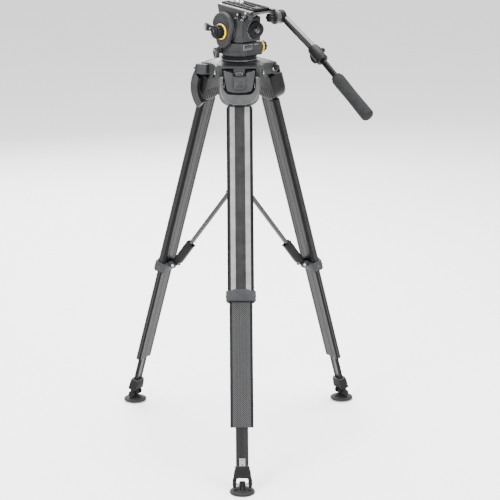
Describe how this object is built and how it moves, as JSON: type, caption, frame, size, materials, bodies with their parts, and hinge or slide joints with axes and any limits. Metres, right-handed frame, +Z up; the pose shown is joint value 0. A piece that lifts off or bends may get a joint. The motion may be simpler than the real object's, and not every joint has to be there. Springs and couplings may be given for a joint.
{
  "type": "tripod",
  "caption": "Broadcast camera tripod: two-stage carbon legs with rubber feet, mid-level spreader and a fluid pan and tilt head with sliding plate and telescopic pan bar.",
  "frame": {"origin": "on the floor, at the bottom middle of the box round the whole object", "axes": "+Z up; -Y towards the leg that stands out furthest; +X to the right of someone facing that leg from outside"},
  "size_m": [0.6053, 0.6912, 1.0631],
  "materials": {
    "black_plastic": "black moulded plastic, fine grain",
    "black_rubber": "matt black rubber",
    "bright_steel": "bright steel",
    "carbon_fibre": "black carbon fibre under clear lacquer",
    "display_window": "dark clear window",
    "foam_grip": "dark grey closed-cell foam",
    "grey_casting": "dark grey powder-coated casting",
    "light_grey_casting": "steel-grey satin paint",
    "yellow_ring": "yellow moulded ring"
  },
  "bodies": {
    "tripod_top": {"crown": "grey_casting", "half_ball": "grey_casting", "carry_handle": "grey_casting"},
    "tie_down": {"tie_down_knob": "black_plastic"},
    "hub": {"spreader_hub": "black_plastic"},
    "pan": {"pan_base": "grey_casting", "head_body": "grey_casting", "side_cover": "grey_casting", "level_window": "display_window"},
    "pan_drag": {"pan_drag_ring": "yellow_ring", "pan_drag_knob": "black_plastic"},
    "tilt_drag": {"tilt_drag_ring": "yellow_ring", "tilt_drag_knob": "black_plastic"},
    "pan_brake": {"pan_brake_lever": "grey_casting"},
    "tilt_brake": {"tilt_brake_lever": "black_plastic"},
    "balance": {"balance_knob": "black_plastic"},
    "tilt": {"tilt_platform": "grey_casting"},
    "plate": {"sliding_plate": "black_plastic", "camera_screw": "bright_steel", "camera_pin": "bright_steel"},
    "plate_release": {"plate_lever": "black_plastic"},
    "bar_clamp": {"bar_clamp_knob": "black_plastic"},
    "bar": {"pan_bar_tube": "black_plastic"},
    "bar_lock": {"bar_lock_knob": "black_plastic"},
    "bar_end": {"pan_bar_rod": "black_plastic", "pan_bar_grip": "foam_grip"},
    "leg_front": {"leg_head_front": "light_grey_casting", "leg_upper_front": "carbon_fibre", "leg_collar_front": "grey_casting"},
    "lever_front": {"brake_lever_front": "grey_casting"},
    "middle_front": {"leg_middle_front": "carbon_fibre"},
    "lower_front": {"leg_lower_front": "carbon_fibre", "foot_ankle_front": "black_rubber"},
    "pad_front": {"foot_pad_front": "black_rubber"},
    "catch_front": {"angle_catch_front": "grey_casting"},
    "rod_front": {"spreader_rod_front": "black_plastic"},
    "sleeve_front": {"spreader_sleeve_front": "grey_casting"},
    "leg_right": {"leg_head_right": "light_grey_casting", "leg_upper_right": "carbon_fibre", "leg_collar_right": "grey_casting"},
    "lever_right": {"brake_lever_right": "grey_casting"},
    "middle_right": {"leg_middle_right": "carbon_fibre"},
    "lower_right": {"leg_lower_right": "carbon_fibre", "foot_ankle_right": "black_rubber"},
    "pad_right": {"foot_pad_right": "black_rubber"},
    "catch_right": {"angle_catch_right": "grey_casting"},
    "rod_right": {"spreader_rod_right": "black_plastic"},
    "sleeve_right": {"spreader_sleeve_right": "grey_casting"},
    "leg_left": {"leg_head_left": "light_grey_casting", "leg_upper_left": "carbon_fibre", "leg_collar_left": "grey_casting"},
    "lever_left": {"brake_lever_left": "grey_casting"},
    "middle_left": {"leg_middle_left": "carbon_fibre"},
    "lower_left": {"leg_lower_left": "carbon_fibre", "foot_ankle_left": "black_rubber"},
    "pad_left": {"foot_pad_left": "black_rubber"},
    "catch_left": {"angle_catch_left": "grey_casting"},
    "rod_left": {"spreader_rod_left": "black_plastic"},
    "sleeve_left": {"spreader_sleeve_left": "grey_casting"}
  },
  "joints": [
    {"name": "tie_down_turn", "type": "hinge", "parent": "tripod_top", "child": "tie_down", "pos_m": [-0.00342, 0.15578, 0.80032], "axis": [0, 0, 1], "continuous": true},
    {"name": "fold_front", "type": "hinge", "parent": "tripod_top", "child": "leg_front", "pos_m": [-0.00342, 0.09078, 0.90032], "axis": [1, 0, 0], "range_deg": [0, 25.1]},
    {"name": "lever_turn_front", "type": "hinge", "parent": "leg_front", "child": "lever_front", "pos_m": [-0.00342, 0.06431, 0.8945], "axis": [1, 0, 0], "range_deg": [-40, 0]},
    {"name": "catch_tilt_front", "type": "hinge", "parent": "tripod_top", "child": "catch_front", "pos_m": [-0.00342, 0.08278, 0.90782], "axis": [1, 0, 0], "range_deg": [-8, 0], "stiffness_Nm_per_rad": 0.4},
    {"name": "middle_slide_front", "type": "slide", "parent": "leg_front", "child": "middle_front", "axis": [0, -0.4242, -0.9056], "range_m": [-0.26, 0.065]},
    {"name": "lower_slide_front", "type": "slide", "parent": "middle_front", "child": "lower_front", "axis": [0, -0.4242, -0.9056], "range_m": [-0.085, 0.195]},
    {"name": "ankle_front", "type": "hinge", "parent": "lower_front", "child": "pad_front", "pos_m": [-0.00342, -0.32197, 0.0192], "axis": [1, 0, 0], "range_deg": [-30, 30]},
    {"name": "fold_right", "type": "hinge", "parent": "tripod_top", "child": "leg_right", "pos_m": [0.05287, 0.18828, 0.90032], "axis": [-0.5, 0.866, 0], "range_deg": [0, 15.65]},
    {"name": "lever_turn_right", "type": "hinge", "parent": "leg_right", "child": "lever_right", "pos_m": [0.07466, 0.20085, 0.89023], "axis": [-0.5, 0.866, 0], "range_deg": [-40, 0]},
    {"name": "catch_tilt_right", "type": "hinge", "parent": "tripod_top", "child": "catch_right", "pos_m": [0.0598, 0.19228, 0.90782], "axis": [-0.5, 0.866, 0], "range_deg": [-8, 0], "stiffness_Nm_per_rad": 0.4},
    {"name": "middle_slide_right", "type": "slide", "parent": "leg_right", "child": "middle_right", "axis": [0.2336, 0.1349, -0.9629], "range_m": [-0.225, 0.1]},
    {"name": "lower_slide_right", "type": "slide", "parent": "middle_right", "child": "lower_right", "axis": [0.2336, 0.1349, -0.9629], "range_m": [-0.06, 0.22]},
    {"name": "ankle_right", "type": "hinge", "parent": "lower_right", "child": "pad_right", "pos_m": [0.26605, 0.31135, 0.02165], "axis": [-0.5, 0.866, 0], "range_deg": [-30, 30]},
    {"name": "fold_left", "type": "hinge", "parent": "tripod_top", "child": "leg_left", "pos_m": [-0.05971, 0.18828, 0.90032], "axis": [-0.5, -0.866, 0], "range_deg": [0, 15.65]},
    {"name": "lever_turn_left", "type": "hinge", "parent": "leg_left", "child": "lever_left", "pos_m": [-0.08149, 0.20085, 0.89023], "axis": [-0.5, -0.866, 0], "range_deg": [-40, 0]},
    {"name": "catch_tilt_left", "type": "hinge", "parent": "tripod_top", "child": "catch_left", "pos_m": [-0.06664, 0.19228, 0.90782], "axis": [-0.5, -0.866, 0], "range_deg": [-8, 0], "stiffness_Nm_per_rad": 0.4},
    {"name": "middle_slide_left", "type": "slide", "parent": "leg_left", "child": "middle_left", "axis": [-0.2336, 0.1349, -0.9629], "range_m": [-0.225, 0.1]},
    {"name": "lower_slide_left", "type": "slide", "parent": "middle_left", "child": "lower_left", "axis": [-0.2336, 0.1349, -0.9629], "range_m": [-0.06, 0.22]},
    {"name": "ankle_left", "type": "hinge", "parent": "lower_left", "child": "pad_left", "pos_m": [-0.27289, 0.31135, 0.02165], "axis": [-0.5, -0.866, 0], "range_deg": [-30, 30]},
    {"name": "hub_rise", "type": "slide", "parent": "tripod_top", "child": "hub", "axis": [0, 0, 1], "range_m": [0, 0.052]},
    {"name": "rod_swing_front", "type": "hinge", "parent": "hub", "child": "rod_front", "pos_m": [-0.00342, 0.12978, 0.59032], "axis": [1, 0, 0], "range_deg": [0, 50.38]},
    {"name": "sleeve_swing_front", "type": "hinge", "parent": "leg_front", "child": "sleeve_front", "pos_m": [-0.00342, -0.11123, 0.41133], "axis": [1, 0, 0], "range_deg": [0, 25.28]},
    {"name": "rod_swing_right", "type": "hinge", "parent": "hub", "child": "rod_right", "pos_m": [0.0191, 0.16878, 0.59032], "axis": [-0.5, 0.866, 0], "range_deg": [0, 34.53]},
    {"name": "sleeve_swing_right", "type": "hinge", "parent": "leg_right", "child": "sleeve_right", "pos_m": [0.15591, 0.24777, 0.3848], "axis": [-0.5, 0.866, 0], "range_deg": [0, 18.88]},
    {"name": "rod_swing_left", "type": "hinge", "parent": "hub", "child": "rod_left", "pos_m": [-0.02593, 0.16878, 0.59032], "axis": [-0.5, -0.866, 0], "range_deg": [0, 34.53]},
    {"name": "sleeve_swing_left", "type": "hinge", "parent": "leg_left", "child": "sleeve_left", "pos_m": [-0.16275, 0.24777, 0.3848], "axis": [-0.5, -0.866, 0], "range_deg": [0, 18.88]},
    {"name": "pan_turn", "type": "hinge", "parent": "tripod_top", "child": "pan", "pos_m": [-0.00342, 0.15578, 0.00032], "axis": [0, 0, 1], "continuous": true},
    {"name": "pan_drag_turn", "type": "hinge", "parent": "pan", "child": "pan_drag", "pos_m": [0.04623, 0.16684, 0.95082], "axis": [0.7431, 0.6691, 0], "range_deg": [-150, 150]},
    {"name": "tilt_drag_turn", "type": "hinge", "parent": "pan", "child": "tilt_drag", "pos_m": [-0.04593, 0.1175, 0.99432], "axis": [-0.7431, -0.6691, 0], "range_deg": [-150, 150]},
    {"name": "pan_brake_turn", "type": "hinge", "parent": "pan", "child": "pan_brake", "pos_m": [-0.05396, 0.14122, 0.94632], "axis": [0.7431, 0.6691, 0], "range_deg": [0, 40]},
    {"name": "tilt_brake_turn", "type": "hinge", "parent": "pan", "child": "tilt_brake", "pos_m": [-0.066, 0.1398, 0.99932], "axis": [0.7431, 0.6691, 0], "range_deg": [-35, 0]},
    {"name": "balance_turn", "type": "hinge", "parent": "pan", "child": "balance", "pos_m": [0.03507, 0.1362, 0.99532], "axis": [0.6691, -0.7431, 0], "continuous": true},
    {"name": "tilt_nod", "type": "hinge", "parent": "pan", "child": "tilt", "pos_m": [-0.00342, 0.15578, 0.99432], "axis": [0.7431, 0.6691, 0], "range_deg": [-75, 28]},
    {"name": "plate_travel", "type": "slide", "parent": "tilt", "child": "plate", "axis": [-0.6666, 0.7403, 0.0872], "range_m": [-0.03, 0.03]},
    {"name": "plate_release_turn", "type": "hinge", "parent": "tilt", "child": "plate_release", "pos_m": [-0.00569, 0.0918, 1.03848], "axis": [0.7431, 0.6691, 0], "range_deg": [0, 30]},
    {"name": "bar_clamp_turn", "type": "hinge", "parent": "tilt", "child": "bar_clamp", "pos_m": [0.05091, 0.09544, 1.02737], "axis": [0.7431, 0.6691, 0], "continuous": true},
    {"name": "bar_swing", "type": "hinge", "parent": "tilt", "child": "bar", "pos_m": [0.05091, 0.09544, 1.02737], "axis": [0.7431, 0.6691, 0], "range_deg": [-60, 5]},
    {"name": "bar_lock_turn", "type": "hinge", "parent": "bar", "child": "bar_lock", "pos_m": [0.17529, 0.05594, 0.95576], "axis": [0.7431, 0.6691, 0], "continuous": true},
    {"name": "bar_extend", "type": "slide", "parent": "bar", "child": "bar_end", "axis": [0.5358, -0.5951, -0.599], "range_m": [-0.01, 0.02]}
  ],
  "couplings": [
    {"joint": "rod_swing_front", "follows": "fold_front", "ratio": 2.0052},
    {"joint": "sleeve_swing_front", "follows": "fold_front", "ratio": 1.0052},
    {"joint": "rod_swing_right", "follows": "fold_front", "ratio": 1.3737},
    {"joint": "sleeve_swing_right", "follows": "fold_front", "ratio": 0.75022},
    {"joint": "rod_swing_left", "follows": "fold_front", "ratio": 1.3737},
    {"joint": "sleeve_swing_left", "follows": "fold_front", "ratio": 0.75022},
    {"joint": "hub_rise", "follows": "fold_front", "m_per_rad": 0.1187},
    {"joint": "fold_right", "follows": "fold_front", "ratio": 0.6235},
    {"joint": "fold_left", "follows": "fold_front", "ratio": 0.6235}
  ]
}
